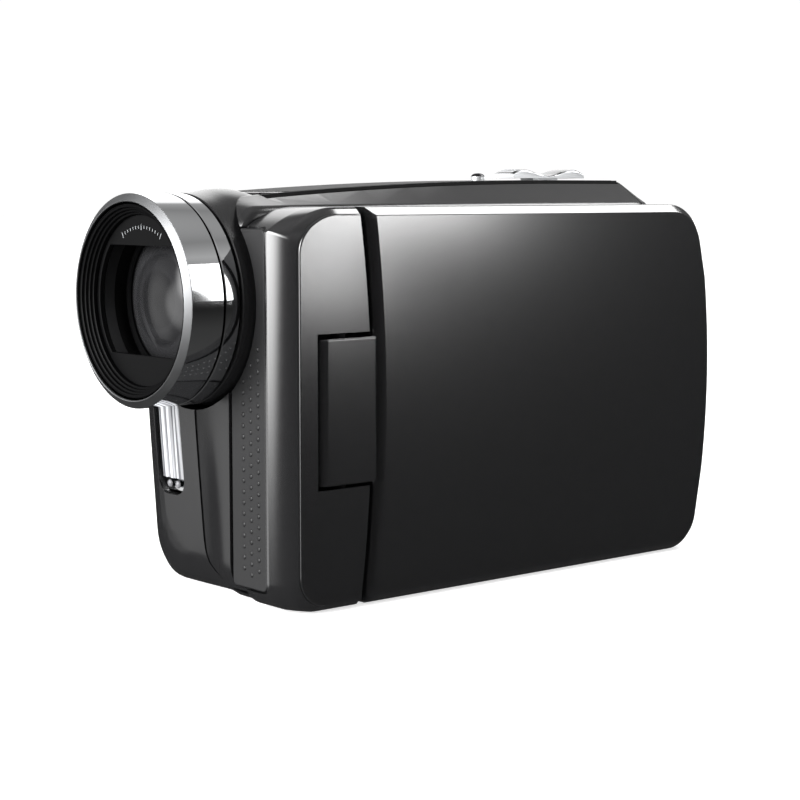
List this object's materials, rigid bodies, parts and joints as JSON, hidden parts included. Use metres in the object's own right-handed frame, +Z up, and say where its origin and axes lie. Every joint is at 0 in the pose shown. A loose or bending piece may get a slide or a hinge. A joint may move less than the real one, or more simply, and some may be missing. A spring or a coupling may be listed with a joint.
{
  "type": "camcorder",
  "caption": "Compact hand-held camcorder with a round chrome-ringed lens, a swing-out screen on the left side, a top zoom rocker and a padded hand strap.",
  "frame": {"origin": "on the flat base, directly under the lens axis, about midway along the body", "axes": "the lens looks along -Y, the screen is on the +X side, the hand strap on the -X side, +Z is up"},
  "size_m": [0.0726, 0.1049, 0.0665],
  "materials": {
    "casing": "satin-gloss charcoal moulded plastic",
    "pod": "gloss charcoal lacquer",
    "top_trim": "fine satin black",
    "grip_strip": "matt with small raised dots",
    "chrome": "mirror-polished plating",
    "silver": "bright satin plating",
    "black": "anti-reflection matt black",
    "lens_glass": "multi-coated optical glass",
    "screen": "dark polished screen window",
    "lamp_clear": "clear ribbed lamp window",
    "steel": "bright machined steel",
    "board": "solder-masked circuit board",
    "battery_wrap": "matt wrap",
    "rubber": "soft-touch rubber",
    "webbing": "woven nylon webbing",
    "padding": "padded fabric over foam"
  },
  "bodies": {
    "body": {"left_casing": "casing", "right_casing": "casing", "rear_cover": "casing", "top_cover": "top_trim", "side_frame": "pod", "front_grip_strip": "grip_strip", "lens_barrel_housing": "casing", "lens_front_ring": "chrome", "lens_rear_ring": "chrome", "lens_hood_mask": "black", "front_lens": "lens_glass", "lens_tube": "black", "rear_lens": "lens_glass", "guide_rod_left": "steel", "guide_rod_right": "steel", "zoom_motor": "steel", "sensor_board": "board", "image_sensor": "black", "main_board": "board", "image_processor": "black", "memory_card": "black", "battery": "battery_wrap", "speaker": "black", "microphone": "black", "lamp_window": "lamp_clear", "lamp_reflector": "chrome", "lamp_tube": "lamp_clear", "status_lamp": "lamp_clear", "hinge_pin": "steel", "rocker_pin": "steel", "tripod_bush": "steel", "base_screw_front": "steel", "base_screw_rear": "steel", "rear_screw_upper": "steel", "rear_screw_lower": "steel", "strap_lug_front": "steel", "strap_lug_rear": "steel", "hand_strap": "webbing", "strap_pad": "padding"},
    "lcd_panel": {"hinge_block": "pod", "tilt_shaft": "steel", "lcd_cover": "pod", "lcd_bezel": "black", "lcd_display": "screen", "lcd_backlight": "black"},
    "zoom_group": {"zoom_carriage": "black", "zoom_lens": "lens_glass"},
    "lead_screw": {"lead_screw": "steel"},
    "zoom_rocker": {"zoom_rocker": "silver"},
    "photo_button": {"photo_button": "black"},
    "record_button": {"record_button": "silver"},
    "power_button": {"power_button": "black"},
    "mode_button": {"mode_button": "black"},
    "play_button": {"play_button": "black"},
    "mode_switch": {"mode_switch": "rubber"},
    "battery_door": {"battery_door": "casing"},
    "port_cover": {"port_cover": "rubber"}
  },
  "joints": [
    {"name": "lcd_hinge", "type": "hinge", "parent": "body", "child": "lcd_panel", "pos_m": [0.02146, -0.0308, 0.03], "axis": [0, 0, -1], "range_deg": [0, 90]},
    {"name": "zoom_slide", "type": "slide", "parent": "body", "child": "zoom_group", "axis": [0, 1, 0], "range_m": [0, 0.008]},
    {"name": "lead_spin", "type": "hinge", "parent": "body", "child": "lead_screw", "pos_m": [0, -0.0247, 0.0381], "axis": [0, 1, 0], "range_deg": [0, 1440]},
    {"name": "rocker_tilt", "type": "hinge", "parent": "body", "child": "zoom_rocker", "pos_m": [0, 0.032, 0.0636], "axis": [1, 0, 0], "range_deg": [-4, 4], "stiffness_Nm_per_rad": 0.05},
    {"name": "photo_press", "type": "slide", "parent": "body", "child": "photo_button", "axis": [0, 0, -1], "range_m": [0, 0.0008], "stiffness_N_per_m": 600, "springref_m": -0.0004},
    {"name": "record_press", "type": "slide", "parent": "body", "child": "record_button", "axis": [0, -1, 0], "range_m": [0, 0.0008], "stiffness_N_per_m": 600, "springref_m": -0.0004},
    {"name": "power_press", "type": "slide", "parent": "body", "child": "power_button", "axis": [-1, 0, 0], "range_m": [0, 0.0005], "stiffness_N_per_m": 600, "springref_m": -0.0003},
    {"name": "mode_press", "type": "slide", "parent": "body", "child": "mode_button", "axis": [-1, 0, 0], "range_m": [0, 0.0005], "stiffness_N_per_m": 600, "springref_m": -0.0003},
    {"name": "play_press", "type": "slide", "parent": "body", "child": "play_button", "axis": [-1, 0, 0], "range_m": [0, 0.0005], "stiffness_N_per_m": 600, "springref_m": -0.0003},
    {"name": "switch_slide", "type": "slide", "parent": "body", "child": "mode_switch", "axis": [0, 0, 1], "range_m": [-0.0025, 0.0025]},
    {"name": "door_hinge", "type": "hinge", "parent": "body", "child": "battery_door", "pos_m": [-0.0075, 0.0072, 0.00085], "axis": [-1, 0, 0], "range_deg": [0, 95]},
    {"name": "port_hinge", "type": "hinge", "parent": "body", "child": "port_cover", "pos_m": [0.0071, 0.04945, 0.027], "axis": [0, 0, -1], "range_deg": [0, 100]}
  ],
  "couplings": [
    {"joint": "lead_spin", "follows": "zoom_slide", "rad_per_m": 3141.6}
  ]
}
